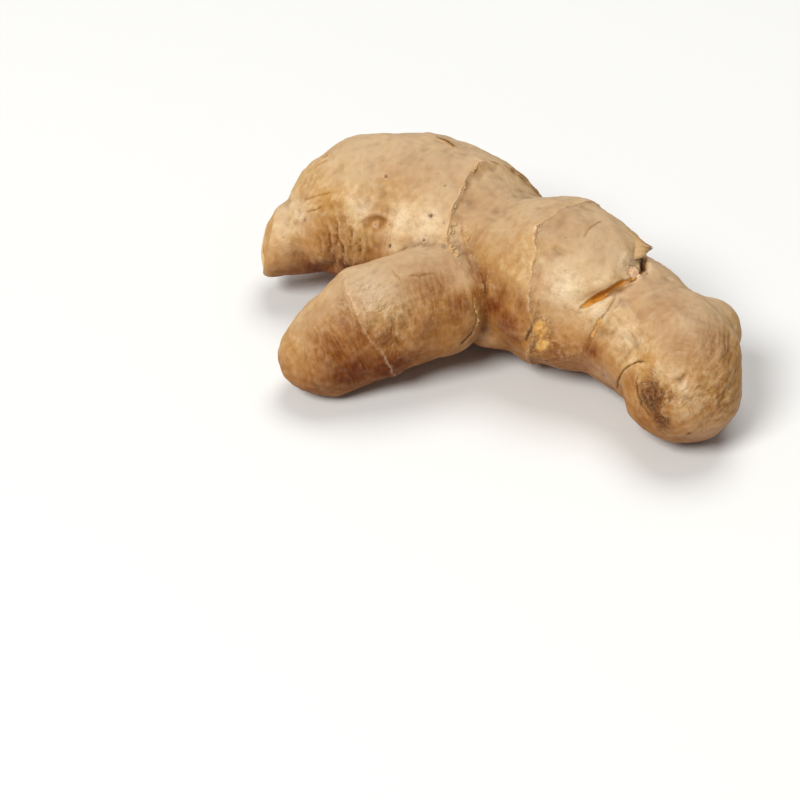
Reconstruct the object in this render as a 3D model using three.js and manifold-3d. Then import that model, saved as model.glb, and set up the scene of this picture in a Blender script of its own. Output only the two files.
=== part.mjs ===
// A fresh ginger root: one whole rhizome lying on a surface, in millimetres, +Z up.
// X runs across the root from the cut stub to the young finger, Y runs away from the viewer.
// Each lobe is a ringed, round-ended body lofted along a spine, and all of them grow into one solid.
import * as THREE from "three";
import { mergeVertices } from "three/addons/utils/BufferGeometryUtils.js";
import Module from "manifold-3d";

const SKIN = { color: 0xc9a06c, roughness: 0.72, metalness: 0 };

// How the lofts are divided.
const SECTION_STEP = 2.6;
const END_SECTIONS = 5;
const RING_SECTIONS = [-2.2, -0.8, 0, 0.45, 1.3];
const WELD = 1e-4;

// The step of a ring scar: the older skin rises to its edge, then drops to the younger skin.
const RING_SWELL = 2.4;
const RING_DROP = 0.35;
const RING_GROOVE = 1.1;

// Soft unevenness of the skin, as waves through space.
const BROAD_LUMPS = { height: 0.55, length: 17 };
const SMALL_LUMPS = { height: 0.22, length: 7.5 };

// Each lobe: spine knots are [x, y, z, half width, half height], a round nose and tail of the given length,
// and rings at a distance along the spine, each with the height its edge stands up. A ring leans by some
// millimetres towards an angle round the spine, where 0 is left of the way the spine runs, 90 is up and
// 180 is right, and its saddle swings it forward on two opposite sides, across the given angle.
const LOBES = {
  body: {
    sides: 44,
    nose: 13,
    tail: 3.5,
    rings: [
      { at: 16, lean: 1.8, towards: 49, rise: 0.3, saddle: 3.4, across: -87 },
      { at: 50.1, lean: 1.3, towards: -113, rise: 0.75, saddle: 4.7, across: -4 },
      { at: 72, lean: 0.5, towards: -34, rise: 0.65, saddle: 2.5, across: 6 },
      { at: 78.5, lean: 1.5, towards: 60, rise: 0.3, saddle: 0, across: 0 },
      { at: 84.5, lean: 2.8, towards: 60, rise: 0.55, saddle: 0, across: 0 },
    ],
    spine: [
      [-47, 15, 16, 9, 8.5],
      [-36, 20, 18.5, 16, 15.5],
      [-22, 21, 20, 18.5, 18.5],
      [-9.5, 14.3, 20.1, 18.6, 18.5],
      [1.5, 2.6, 18.4, 16.1, 15.8],
      [11, -4.3, 19.5, 18.2, 18.1],
      [20, -10, 18.5, 16.2, 17],
      [25.3, -12.4, 17.7, 15.1, 15.7],
      [28.3, -13.4, 17.6, 14.2, 14.6],
    ],
  },
  young_finger: {
    sides: 38,
    nose: 9,
    tail: 13,
    rings: [
      { at: 19, lean: 1.5, towards: 120, rise: 0.4, saddle: 0, across: 0 },
      { at: 31, lean: 1.5, towards: 60, rise: 0.3, saddle: 0, across: 0 },
    ],
    spine: [
      [17, -7.5, 16.6, 12.5, 12.5],
      [24.3, -13.6, 16.2, 14.4, 14.2],
      [31.2, -20, 15.3, 13.2, 13.7],
      [36.4, -28.5, 14.4, 12.9, 14.6],
      [36.2, -37, 13.6, 12.3, 13.8],
      [33.6, -46.2, 13, 10.8, 11.6],
    ],
  },
  front_finger: {
    sides: 36,
    nose: 6,
    tail: 10,
    rings: [
      { at: 26.3, lean: 1.6, towards: 21, rise: 0.5, saddle: 0, across: 0 },
    ],
    spine: [
      [-4.5, -5.5, 16.4, 10, 10],
      [-11, -8, 16.8, 11.6, 11.4],
      [-18, -9.8, 16.4, 12.2, 12.3],
      [-28, -13, 14.2, 11.8, 12],
      [-38, -17.5, 10.2, 9.8, 10.7],
      [-48, -21, 9, 8, 9],
    ],
  },
  cut_stub: {
    sides: 28,
    nose: 7,
    tail: 5,
    rings: [
      { at: 10, lean: 1.0, towards: 90, rise: 0.4, saddle: 0, across: 0 },
    ],
    spine: [
      [-34, 24, 16, 8, 8],
      [-42, 21, 14.5, 8.6, 8.8],
      [-49, 19.5, 13.5, 8, 8.4],
      [-58, 19, 12.5, 6.5, 7],
    ],
  },
  tip_bud: {
    sides: 24,
    nose: 5,
    tail: 6,
    rings: [],
    spine: [
      [38, -29, 13, 7, 7],
      [32.5, -36, 11.5, 8.7, 8.9],
      [28.5, -42, 10.5, 7.5, 7.6],
    ],
  },
  belly: {
    sides: 24,
    nose: 7,
    tail: 7,
    rings: [],
    spine: [
      [-12, 2, 14, 9, 9],
      [-1.5, -4, 13.4, 10.4, 10.4],
      [8.5, -9, 14.8, 9.4, 9.4],
      [18, -16, 14, 8, 8],
    ],
  },
  shoulder: {
    sides: 20,
    nose: 6,
    tail: 6.5,
    rings: [],
    spine: [
      [36, -21, 17, 7, 7],
      [42, -21.5, 17.5, 8, 8],
      [49, -25.5, 16.2, 7, 7],
    ],
  },
  back_bud: {
    sides: 28,
    nose: 5,
    tail: 7,
    rings: [
      { at: 16, lean: 0.8, towards: 90, rise: 0.5, saddle: 0, across: 0 },
    ],
    spine: [
      [-2, 6, 14, 7, 7],
      [3, 16, 10.5, 9, 9],
      [6, 24, 8.6, 8.6, 9.2],
      [7, 31, 8.5, 7, 7.5],
    ],
  },
};

// The stub ends in a flat knife cut.
const STUB_CUT = { at: [-53, 20, 13.5], facing: [-1, 0.02, 0.2] };

// Hollows in the skin, each a half sunk ellipsoid: its centre, its long way, the way it faces,
// and its half length, half width and depth.
const HOLLOWS = {
  torn_slit: {
    at: [21.6, -21.9, 28.3],
    run: [-12.2, -3.9, -3.8],
    facing: [0.05, -0.6, 0.78],
    half: [7.6, 0.85, 2.4],
  },
  lip_hole: {
    at: [29, -15.8, 30.3],
    run: [1, -0.3, 0],
    facing: [0.25, -0.03, 0.97],
    half: [1.8, 1.1, 1.8],
  },
  root_eye: {
    at: [-27.5, 5.2, 27.4],
    run: [1, -0.2, 0],
    facing: [-0.17, -0.81, 0.56],
    half: [2.6, 1.7, 0.9],
  },
};

// Larger than the root, for blocks that cut all of one side away.
const FAR = 200;

const wasm = await Module();
wasm.setup();

// A value from a row of knots, by a Catmull-Rom curve over t from 0 to 1.
function along(row, t) {
  const place = t * (row.length - 1);
  const k = Math.min(Math.floor(place), row.length - 2);
  const f = place - k;
  const [b, c] = [row[k], row[k + 1]];
  const a = row[k - 1] ?? 2 * b - c;
  const d = row[k + 2] ?? 2 * c - b;
  return b + 0.5 * f * (c - a + f * (2 * a - 5 * b + 4 * c - d + f * (3 * (b - c) + d - a)));
}

// How far out a point of the skin is pushed by the soft lumps.
function lumps(p) {
  let out = 0;
  for (const { height, length } of [BROAD_LUMPS, SMALL_LUMPS]) {
    const k = (2 * Math.PI) / length;
    const across = Math.sin(k * p.x + 1.7 * Math.sin(0.6 * k * p.y));
    const upward = Math.cos(k * p.z + 1.3 * Math.sin(0.7 * k * p.x + 0.5 * k * p.y));
    out += height * across * upward;
  }
  return out;
}

// The ring scar's height at d millimetres past its edge.
function scar(d, rise) {
  if (d <= 0) return rise * Math.exp(d / RING_SWELL);
  return rise * (1.4 * Math.exp(-d / RING_DROP) - 0.4 * Math.exp(-d / RING_GROOVE));
}

// Where the sections lie along a lobe: close together at its round ends and at its rings.
function stations(lobe, length) {
  const fixed = [];
  for (let i = 1; i <= END_SECTIONS; i++) {
    const share = 1 - Math.cos((Math.PI / 2) * (i / END_SECTIONS));
    fixed.push(lobe.nose * share, length - lobe.tail * share);
  }
  for (const ring of lobe.rings) fixed.push(...RING_SECTIONS.map((d) => ring.at + d));
  fixed.sort((a, b) => a - b);
  const all = [fixed[0]];
  for (const s of fixed.slice(1)) {
    const last = all[all.length - 1];
    const extra = Math.ceil((s - last) / SECTION_STEP) - 1;
    for (let i = 1; i <= extra; i++) all.push(last + ((s - last) * i) / (extra + 1));
    all.push(s);
  }
  return all;
}

// How far a ring's lean shifts a section at s, for the angle round the spine.
function leaning(lobe, length, s, angle) {
  let shift = 0;
  lobe.rings.forEach((ring, i) => {
    const before = i > 0 ? lobe.rings[i - 1].at : 0;
    const after = i < lobe.rings.length - 1 ? lobe.rings[i + 1].at : length;
    const reach = s < ring.at ? (s - before) / (ring.at - before) : (after - s) / (after - ring.at);
    if (reach <= 0) return;
    const weight = reach * reach * (3 - 2 * reach);
    const turn = angle - THREE.MathUtils.degToRad(ring.towards);
    const twice = 2 * (angle - THREE.MathUtils.degToRad(ring.across));
    const ragged = 0.35 * Math.sin(3 * turn + i) + 0.2 * Math.sin(7 * turn);
    shift += weight * (ring.lean * Math.cos(turn) + ring.saddle * Math.cos(twice) + ragged);
  });
  return shift;
}

function loft(lobe) {
  const knots = lobe.spine;
  const curve = new THREE.CatmullRomCurve3(knots.map((k) => new THREE.Vector3(k[0], k[1], k[2])));
  curve.arcLengthDivisions = 400;
  const length = curve.getLength();
  const widths = knots.map((k) => k[3]);
  const heights = knots.map((k) => k[4]);
  const up = new THREE.Vector3(0, 0, 1);

  const skinPoint = (s, angle) => {
    const here = THREE.MathUtils.clamp(s + leaning(lobe, length, s, angle), 0, length);
    const u = here / length;
    const t = curve.getUtoTmapping(u);
    const centre = curve.getPoint(t);
    const tangent = curve.getTangent(t);
    const side = new THREE.Vector3().crossVectors(up, tangent).normalize();
    const over = new THREE.Vector3().crossVectors(tangent, side);
    const endRound = (d, reach) => (d < reach ? Math.sqrt(Math.max(0, 1 - (1 - d / reach) ** 2)) : 1);
    const round = endRound(s, lobe.nose) * endRound(length - s, lobe.tail);
    const out = side.multiplyScalar(along(widths, t) * round * Math.cos(angle));
    out.addScaledVector(over, along(heights, t) * round * Math.sin(angle));
    const point = centre.clone().add(out);
    let relief = lumps(point) * round;
    for (const ring of lobe.rings) relief += scar(s - ring.at, ring.rise) * round;
    return point.addScaledVector(out.normalize(), relief);
  };

  const rows = stations(lobe, length);
  const position = [];
  const index = [];
  const n = lobe.sides;
  for (const s of rows) {
    for (let j = 0; j < n; j++) position.push(...skinPoint(s, (2 * Math.PI * j) / n).toArray());
  }
  const ends = [position.length / 3, position.length / 3 + 1];
  position.push(...curve.getPoint(0).toArray(), ...curve.getPoint(1).toArray());
  const last = (rows.length - 1) * n;
  for (let j = 0; j < n; j++) {
    const next = (j + 1) % n;
    for (let i = 0; i < last; i += n) {
      index.push(i + j, i + next, i + n + j);
      index.push(i + next, i + n + next, i + n + j);
    }
    index.push(ends[0], next, j, ends[1], last + j, last + next);
  }
  const skin = new THREE.BufferGeometry();
  skin.setAttribute("position", new THREE.Float32BufferAttribute(position, 3));
  return solid(skin.setIndex(index));
}

// A three.js geometry as a solid that can be joined and cut.
function solid(geometry) {
  const bare = new THREE.BufferGeometry();
  bare.setAttribute("position", geometry.getAttribute("position"));
  const merged = mergeVertices(bare.setIndex(geometry.index), WELD);
  return new wasm.Manifold(
    new wasm.Mesh({
      numProp: 3,
      vertProperties: merged.getAttribute("position").array,
      triVerts: new Uint32Array(merged.index.array),
    }),
  );
}

// All that lies on the far side of a plane, as a block to cut away.
function beyond(point, facing) {
  const normal = new THREE.Vector3(...facing).normalize();
  const block = new THREE.BoxGeometry(FAR, FAR, FAR);
  block.translate(0, 0, FAR / 2);
  block.applyQuaternion(new THREE.Quaternion().setFromUnitVectors(new THREE.Vector3(0, 0, 1), normal));
  block.translate(...point);
  return solid(block);
}

// An ellipsoid to sink into the skin.
function hollow({ at, run, facing, half }) {
  const z = new THREE.Vector3(...facing).normalize();
  const y = new THREE.Vector3().crossVectors(z, new THREE.Vector3(...run)).normalize();
  const x = new THREE.Vector3().crossVectors(y, z);
  const ball = new THREE.SphereGeometry(1, 18, 10);
  ball.scale(...half);
  ball.applyMatrix4(new THREE.Matrix4().makeBasis(x, y, z).setPosition(...at));
  return solid(ball);
}

// All the lobes grown together, flat underneath where the root touches the surface it lies on.
function rhizome() {
  const { body, cut_stub, ...others } = LOBES;
  let whole = loft(body).add(loft(cut_stub).subtract(beyond(STUB_CUT.at, STUB_CUT.facing)));
  for (const lobe of Object.values(others)) whole = whole.add(loft(lobe));
  for (const place of Object.values(HOLLOWS)) whole = whole.subtract(hollow(place));
  return whole.subtract(beyond([0, 0, 0], [0, 0, -1]));
}

// A solid as a named mesh, with the middle of its outline over the origin.
function meshOf(made, name, look) {
  const { vertProperties, triVerts } = made.getMesh();
  const geometry = new THREE.BufferGeometry();
  geometry.setAttribute("position", new THREE.BufferAttribute(vertProperties, 3));
  geometry.setIndex(new THREE.BufferAttribute(triVerts, 1));
  geometry.computeBoundingBox();
  const middle = geometry.boundingBox.getCenter(new THREE.Vector3());
  geometry.translate(-middle.x, -middle.y, 0);
  geometry.computeVertexNormals();
  const mesh = new THREE.Mesh(geometry, new THREE.MeshStandardMaterial(look));
  mesh.name = name;
  return mesh;
}

const root = new THREE.Group();
root.add(meshOf(rhizome(), "rhizome", SKIN));

export default root;
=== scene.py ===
import math

import bpy
import numpy as np
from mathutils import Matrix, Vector, noise
from mathutils.bvhtree import BVHTree


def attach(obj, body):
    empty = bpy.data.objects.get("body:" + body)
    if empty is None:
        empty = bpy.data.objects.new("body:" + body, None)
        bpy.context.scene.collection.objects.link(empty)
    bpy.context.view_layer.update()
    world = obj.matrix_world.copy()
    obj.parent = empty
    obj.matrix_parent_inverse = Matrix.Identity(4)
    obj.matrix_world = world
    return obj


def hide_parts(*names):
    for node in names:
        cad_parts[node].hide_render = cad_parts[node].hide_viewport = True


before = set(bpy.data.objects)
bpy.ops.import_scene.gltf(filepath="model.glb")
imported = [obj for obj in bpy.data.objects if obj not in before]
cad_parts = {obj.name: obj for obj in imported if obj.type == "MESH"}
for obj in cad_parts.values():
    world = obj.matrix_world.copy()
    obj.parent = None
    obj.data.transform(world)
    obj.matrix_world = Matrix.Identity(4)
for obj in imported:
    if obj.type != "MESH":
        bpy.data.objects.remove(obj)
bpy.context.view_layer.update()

MM = 0.001

# The camera, the photograph's width in pixels and the millimetres in one pixel at the root.
ELEVATION = math.radians(38)
DISTANCE = 480.0
LENS, SENSOR, FRAME_WIDTH = 100.0, 36.0, 800
PIXEL = 0.216

# The root is drawn in millimetres about its growing point. Its outline's middle stands over the origin.
MIDDLE = np.array([-2.0095, -3.3216, 0.0])
AIM = np.array([-22.0, -22.0, 0.0]) - MIDDLE
UP = np.array([0.0, 0.0, 1.0])
FORWARD = np.array([0, math.cos(ELEVATION), -math.sin(ELEVATION)])
RIGHT = np.array([1.0, 0, 0])
SKYWARD = np.array([0, math.sin(ELEVATION), math.cos(ELEVATION)])
EYE = AIM - FORWARD * DISTANCE

# The lobes of the solid: spine knots are x, y, z, half width, half height, and rings lie along the spine.
# A ring leans towards an angle round the spine (0 left, 90 up, 180 right) and dips as a saddle across one.
LOBES = {
    "body": {
        "spine": [
            (-47, 15, 16, 9, 8.5), (-36, 20, 18.5, 16, 15.5), (-22, 21, 20, 18.5, 18.5),
            (-9.5, 14.3, 20.1, 18.6, 18.5), (1.5, 2.6, 18.4, 16.1, 15.8), (11, -4.3, 19.5, 18.2, 18.1),
            (20, -10, 18.5, 16.2, 17), (25.3, -12.4, 17.7, 15.1, 15.7), (28.3, -13.4, 17.6, 14.2, 14.6),
        ],
        "rings": [
            dict(at=16, lean=1.8, towards=49, saddle=3.4, across=-87, rise=0.08, ink=0.1, papery=0.0),
            dict(at=50.1, lean=1.3, towards=-113, saddle=4.7, across=-4, rise=0.45, ink=0.7, papery=0.8),
            dict(at=72, lean=0.5, towards=-34, saddle=2.5, across=6, rise=0.36, ink=0.75, papery=0.6),
        ],
    },
    "young_finger": {
        "spine": [
            (17, -7.5, 16.6, 12.5, 12.5), (24.3, -13.6, 16.2, 14.4, 14.2), (31.2, -20, 15.3, 13.2, 13.7),
            (36.4, -28.5, 14.4, 12.9, 14.6), (36.2, -37, 13.6, 12.3, 13.8), (33.6, -46.2, 13, 10.8, 11.6),
        ],
        "rings": [dict(at=19, lean=1.5, towards=120, saddle=0, across=0, rise=0.06, ink=0.05, papery=0.0)],
    },
    "front_finger": {
        "spine": [
            (-4.5, -5.5, 16.4, 10, 10), (-11, -8, 16.8, 11.6, 11.4), (-18, -9.8, 16.4, 12.2, 12.3),
            (-28, -13, 14.2, 11.8, 12), (-38, -17.5, 10.2, 9.8, 10.7), (-48, -21, 9, 8, 9),
        ],
        "rings": [dict(at=26.3, lean=1.6, towards=21, saddle=0, across=0, rise=0.5, ink=0.35, papery=0.0)],
    },
    "cut_stub": {
        "spine": [
            (-34, 24, 16, 8, 8), (-42, 21, 14.5, 8.6, 8.8), (-49, 19.5, 13.5, 8, 8.4),
            (-58, 19, 12.5, 6.5, 7),
        ],
        "rings": [],
    },
    "tip_bud": {
        "spine": [(38, -29, 13, 7, 7), (32.5, -36, 11.5, 8.7, 8.9), (28.5, -42, 10.5, 7.5, 7.6)],
        "rings": [],
    },
    "belly": {
        "spine": [
            (-12, 2, 14, 9, 9), (-1.5, -4, 13.4, 10.4, 10.4), (8.5, -9, 14.8, 9.4, 9.4),
            (18, -16, 14, 8, 8),
        ],
        "rings": [],
    },
    "shoulder": {
        "spine": [(36, -21, 17, 7, 7), (42, -21.5, 17.5, 8, 8), (49, -25.5, 16.2, 7, 7)],
        "rings": [],
    },
    "back_bud": {
        "spine": [(-2, 6, 14, 7, 7), (3, 16, 10.5, 9, 9), (6, 24, 8.6, 8.6, 9.2), (7, 31, 8.5, 7, 7.5)],
        "rings": [dict(at=16, lean=0.8, towards=90, saddle=0, across=0, rise=0.35, ink=0.6, papery=0.5)],
    },
}

# The knife cut that ends the stub: its middle and the way it faces.
CUT_AT = np.array([-53, 20, 13.5]) - MIDDLE
CUT_FACING = np.array([-1, 0.02, 0.2]) / math.hypot(1, 0.02, 0.2)

# The skin's mesh: its voxels, and the heights that keep the flat spots flat, in millimetres.
VOXEL = 0.5
FLAT_BELOW, FLAT_TOP = 0.05, 0.12

# How often the skin is smoothed, and what is read from it: the lobes' shares and seams, the way that it
# faces, and the near and far means that tell its hollows.
SMOOTH_PASSES = 29
SHARE_PASSES, SEAM_PASSES, FACING_PASSES = 2, 4, 19
NEAR_PASSES, FAR_PASSES = 3, 48

# Points along each span of a spine, and points of the skin that are worked on at a time.
SPAN_STEPS = 60
CHUNK = 15000

# Distances in millimetres: out of reach, off every mark, outside the root, how much deeper in the picture a
# mark still counts, and how far from a line it is measured.
FAR = 1000.0
AWAY = 5.0
OUTSIDE = 60.0
IN_VIEW = 9.0
LINE_REACH = 4.0

# The step of a ring scar, as in the solid.
RING_SWELL, RING_DROP, RING_GROOVE = 2.2, 0.4, 1.2

# Lines in the skin, through pixels of the photograph: drawn half width and depth in millimetres (raised
# where less than 0), and the strengths of their dark ink and of their rusty edge. LINE_RELIEF is the least
# half width of their relief, which the mesh can hold.
LINE_RELIEF = 0.36
LINES = {
    "fore crack": dict(
        through=[
            (616, 290), (615, 298), (608, 310), (600, 320), (595, 330), (588, 341), (583, 353), (581, 366),
        ],
        width=0.1, depth=0.15, ink=0.35, rust=0.4),
    "lip crease": dict(
        through=[(646, 257), (645, 265), (641, 272), (635, 279), (627, 284)],
        width=0.2, depth=0.6, ink=0.8, rust=0.6),
    "bud crack": dict(
        through=[(617, 389), (618, 381), (621, 374), (628, 366), (637, 361), (648, 362)],
        width=0.13, depth=0.35, ink=0.95, rust=0.2),
    "bud fold": dict(
        through=[(640, 372), (636, 382), (637, 395), (643, 408), (652, 418)],
        width=0.12, depth=0.25, ink=0.5, rust=0.0),
    "partial ring": dict(
        through=[(602, 220), (592, 226), (587, 231), (584, 239)],
        width=0.1, depth=0.1, ink=0.3, rust=0.5),
    "finger scar": dict(
        through=[(391, 268), (395, 274), (401, 281)], width=0.1, depth=0.1, ink=0.3, rust=0.3),
    "finger line": dict(
        through=[(406, 278), (412, 275), (420, 276), (428, 274), (437, 274)],
        width=0.1, depth=0.15, ink=0.35, rust=0.2),
    "stub scar": dict(
        through=[(303, 200), (311, 198), (319, 195), (327, 193), (334, 192)],
        width=0.1, depth=0.2, ink=0.4, rust=0.6),
    "stub nick": dict(
        through=[(306, 213), (312, 210), (316, 210), (322, 206)], width=0.1, depth=0.2, ink=0.5, rust=0.6),
    "edge mark": dict(
        through=[(314, 169), (321, 164), (328, 160)], width=0.12, depth=0.15, ink=0.3, rust=1.0),
    "crown scab": dict(
        through=[(436, 137), (442, 139), (447, 141), (451, 145), (456, 148)],
        width=0.62, depth=-0.2, ink=1.0, rust=0.9),
    "torn strip": dict(
        through=[(461, 219), (462, 232), (464, 245), (468, 259), (474, 272)],
        width=0.13, depth=0.15, ink=0.1, rust=0.3),
    "valley edge": dict(
        through=[(469, 284), (473, 294), (474, 308), (477, 320), (473, 330), (466, 339)],
        width=0.16, depth=0.15, ink=0.3, rust=0.45),
    "flank nick": dict(
        through=[(461, 344), (467, 338), (473, 332)], width=0.3, depth=0.5, ink=0.9, rust=0.1),
    "fore fold": dict(
        through=[(541, 289), (537, 300), (534, 311), (530, 322)],
        width=0.12, depth=-0.15, ink=0.1, rust=0.4),
    "rootlet crease": dict(
        through=[(534, 324), (529, 333), (525, 342)], width=0.2, depth=0.4, ink=0.8, rust=0.2),
}

# Torn edges of scale leaf through pixels of the photograph, and how far each reaches in millimetres.
FLAPS = [
    ([(455, 216), (452, 228), (446, 239), (449, 251), (456, 262), (463, 274), (469, 285)], 1.3),
    ([(469, 285), (473, 296), (474, 309), (477, 320), (473, 331), (466, 339)], 0.7),
    ([(461, 219), (463, 232), (464, 245), (468, 259), (474, 272)], 0.8),
    ([(540, 288), (537, 300), (534, 311), (530, 322)], 0.5),
]

# Hooked folds where the stub is gathered: each one's pixel at its middle, its height in pixels and depth.
# The hook is given in pixels to the right and shares of the height.
FOLD_HOOK = [(-2, -0.5), (1.5, -0.2), (2, 0.2), (-1, 0.5)]
FOLDS = [
    (318, 246, 26, 0.3), (327, 240, 34, 0.45), (335, 232, 36, 0.5), (341, 252, 26, 0.4),
    (350, 236, 32, 0.4), (358, 246, 26, 0.3), (331, 262, 16, 0.4), (349, 262, 14, 0.35),
    (343, 222, 16, 0.3),
]

# Round marks by pixel: radius and depth in millimetres, and how dark.
PITS = [
    (386, 176, 0.35, 0.3, 1.0), (431, 216, 0.5, 0.25, 1.0), (424, 240, 0.3, 0.2, 0.8),
    (390, 246, 0.4, 0.3, 0.8), (414, 247, 0.22, 0.1, 0.6), (445, 186, 0.3, 0.12, 0.5),
    (305, 220, 0.5, 0.2, 0.4), (689, 434, 0.45, 0.2, 1.0), (444, 223, 0.2, 0.1, 0.5),
    (547, 360, 0.5, 0.25, 0.8), (560, 366, 0.4, 0.2, 0.6),
]

# Bare yellow flesh where rootlets broke off together: pixel, half width and half height in millimetres.
ROOTLETS = [(540, 328, 1.6, 2.0), (542, 344, 1.4, 1.5)]

# Scars of old roots where the photograph does not reach: lobe, run along it, degrees round it, radius.
ROOT_SCARS = [
    ("body", 12, -8, 1.1), ("body", 21, -22, 1.4), ("body", 33, 14, 0.9), ("body", 45, -12, 1.2),
    ("body", 64, 12, 1.1), ("body", 30, -60, 1.3), ("young_finger", 12, 40, 0.9),
    ("young_finger", 26, 5, 1.1), ("front_finger", 20, 155, 1.0), ("front_finger", 38, 160, 0.8),
    ("cut_stub", 10, 165, 0.8),
]

# Single marks by pixel: the old root's eye, the swelling on the front finger, the valley beside the stub,
# the bud's dark hearts (with radius and strength), the torn slit and crack, the lip and the most torn ring.
ROOT_EYE = (375, 224)
KNOB = (374, 306)
STUB_VALLEY = [(331, 268), (331, 252), (330, 238), (333, 222), (338, 208)]
BUD_HEARTS = [(652, 397, 2.5, 0.9), (659, 419, 2.0, 0.6)]
SLIT = [(578, 309), (586, 305), (595, 299), (607, 291), (616, 286), (627, 281), (638, 276)]
CRACK_TEAR = [(602, 316), (598, 324), (594, 331), (590, 339)]
LIP_FLESH = (634, 272)
LIP_HOLE = (644, 265)
LIP_FLAKE = [(621, 227), (634, 259), (650, 247)]
TORN_RING = (455, 243)

# Patches of the skin by pixel: radius in millimetres and strength.
# PALE_AND_LIT is partly paler skin and partly painted light: painted highlights, lit spots and lighter
# lower edges.
PALE_AND_LIT = [
    (402, 219, 4.0, 0.9), (426, 226, 6.0, 0.8), (425, 250, 5.0, 0.3), (560, 290, 6.5, 0.85),
    (599, 311, 2.2, 0.9), (612, 302, 2.4, 0.5), (284, 225, 4.0, 0.4), (288, 208, 4.0, 0.5),
    (300, 215, 4.5, 0.6), (364, 292, 5.0, 0.8), (402, 303, 4.0, 0.3), (361, 208, 3.5, 0.6),
    (628, 262, 4.5, 0.7), (600, 284, 4.0, 0.6), (690, 398, 3.0, 0.3), (675, 374, 1.4, 0.5),
    (684, 388, 1.8, 0.5), (694, 402, 1.6, 0.5), (684, 415, 1.6, 0.5), (660, 371, 2.0, 0.5),
    (602, 374, 4.5, 0.7), (706, 434, 5.0, 0.6), (590, 330, 2.5, 0.4), (552, 318, 3.5, 0.4),
    (484, 340, 3.0, 0.5), (392, 242, 4.0, 0.6), (290, 252, 4.0, 0.4),
    (574, 318, 4.0, 0.4), (628, 334, 5.0, 0.6), (376, 225, 0.7, 1.0),
]
# BROWN_AND_SHADE is partly brown skin and partly painted shade: the darker lower parts, the shadow on the
# front finger and the dark gap under the stub.
BROWN_AND_SHADE = [
    (484, 276, 4.5, 0.85), (480, 294, 3.6, 0.9), (494, 306, 4.5, 0.95), (470, 328, 4.0, 0.6),
    (506, 322, 4.5, 1.0), (500, 292, 4.5, 0.7), (478, 240, 5.0, 0.45), (540, 282, 3.5, 0.6),
    (466, 284, 4.0, 0.4), (520, 304, 4.0, 0.7), (458, 305, 5.0, 0.9), (330, 350, 9.0, 0.85),
    (348, 326, 7.5, 0.75), (356, 342, 7.0, 0.8), (302, 358, 9.0, 0.5), (320, 384, 8.0, 0.7),
    (352, 372, 9.0, 1.0), (383, 340, 6.0, 0.7), (388, 368, 8.0, 1.0), (425, 318, 8.0, 0.7),
    (430, 288, 8.0, 0.75), (345, 300, 4.0, 0.3), (320, 270, 6.0, 1.0), (346, 268, 3.5, 1.0),
    (333, 240, 5.0, 0.6), (380, 230, 2.6, 0.6), (380, 215, 3.0, 0.5), (404, 172, 8.0, 0.3),
    (430, 172, 8.0, 0.25), (652, 397, 4.2, 0.9), (659, 420, 3.4, 0.9), (592, 350, 3.4, 0.9),
    (555, 352, 4.0, 0.6), (598, 340, 4.0, 0.3), (715, 345, 8.0, 0.6), (678, 340, 4.5, 0.5),
    (672, 372, 2.5, 0.3), (712, 374, 7.0, 0.5), (640, 415, 4.5, 0.5), (662, 308, 7.0, 0.5),
    (560, 225, 7.0, 0.35), (502, 225, 7.0, 0.2), (482, 206, 7.0, 0.4), (606, 240, 6.0, 0.2),
    (500, 258, 6.0, 0.35), (643, 290, 6.0, 0.35), (685, 347, 5.0, 0.6), (632, 385, 3.5, 0.5),
    (512, 336, 3.5, 0.7), (450, 262, 5.0, 0.5), (416, 270, 4.0, 0.5),
]
CRINKLED = [
    (370, 305, 7.0, 1.0), (392, 335, 5.0, 0.8), (455, 243, 3.0, 0.8), (682, 395, 5.5, 1.0),
    (665, 372, 3.0, 0.7), (540, 334, 4.0, 0.8), (560, 352, 5.0, 0.7), (300, 215, 3.0, 0.4),
]
GATHERED = [(335, 243, 7.0, 1.0), (352, 240, 5.0, 0.9), (310, 256, 4.0, 0.8), (488, 290, 5.0, 0.7)]
STREAKED = [(725, 350, 8.0, 1.0), (720, 400, 7.0, 1.0), (580, 290, 6.0, 0.3), (640, 330, 6.0, 0.3)]

# The papery scale leaf: its thickness and the step along its edge in millimetres, how far out its rows
# lie, the degrees between the places where a ring is looked for, and the stations of the lip's flake.
SHEET_THICKNESS = 0.05
SKIRT_STEP = 0.16
SKIRT_ROWS = (0.0, 0.4, 0.75, 1.0)
RING_TURN = 1.5
FLAKE_STATIONS = 9

# The bud's hairs: how many stand on a square metre of its heart, their length in metres, and how far from
# the heart's middle they may stand in millimetres.
HAIR_DENSITY = 1.1e7
HAIR_LENGTH = 0.0015
HAIR_SEED = 8
HAIR_REACH = 8.5

# The studio, in metres and watts.
LIGHTS = {
    "window": dict(at=(-0.9, -1.1, 1.5), size=0.9, power=39.5, colour=(0.99, 0.99, 0.955)),
    "ceiling": dict(at=(0.2, 0.6, 1.7), size=1.2, power=18.0, colour=(1.0, 0.99, 0.97)),
}
LIGHTS_AIM = (0, 0, 0.02)
FLOOR_HALF = 2.0
FLOOR_WHITE = (0.76, 0.76, 0.757, 1)
ROOM_WHITE, ROOM_LIGHT = (1.0, 0.99, 0.975, 1), 0.21
VIEW_NEAR, VIEW_FAR = 0.02, 10


# Shared by all sections.

def unit(vectors):
    """Vectors made one long."""
    return vectors / np.linalg.norm(vectors, axis=-1, keepdims=True)


def distance(points, place):
    """Each point's distance to a place."""
    return np.linalg.norm(points - place, axis=1)


def runs_along(corners):
    """How far along a path each of its corners lies."""
    return np.append(0, np.cumsum(np.linalg.norm(np.diff(corners, axis=0), axis=1)))


def between_runs(marks, runs, values):
    """Values known at runs, read between them at marks."""
    return np.stack([np.interp(marks, runs, column) for column in values.T], -1)


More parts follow.
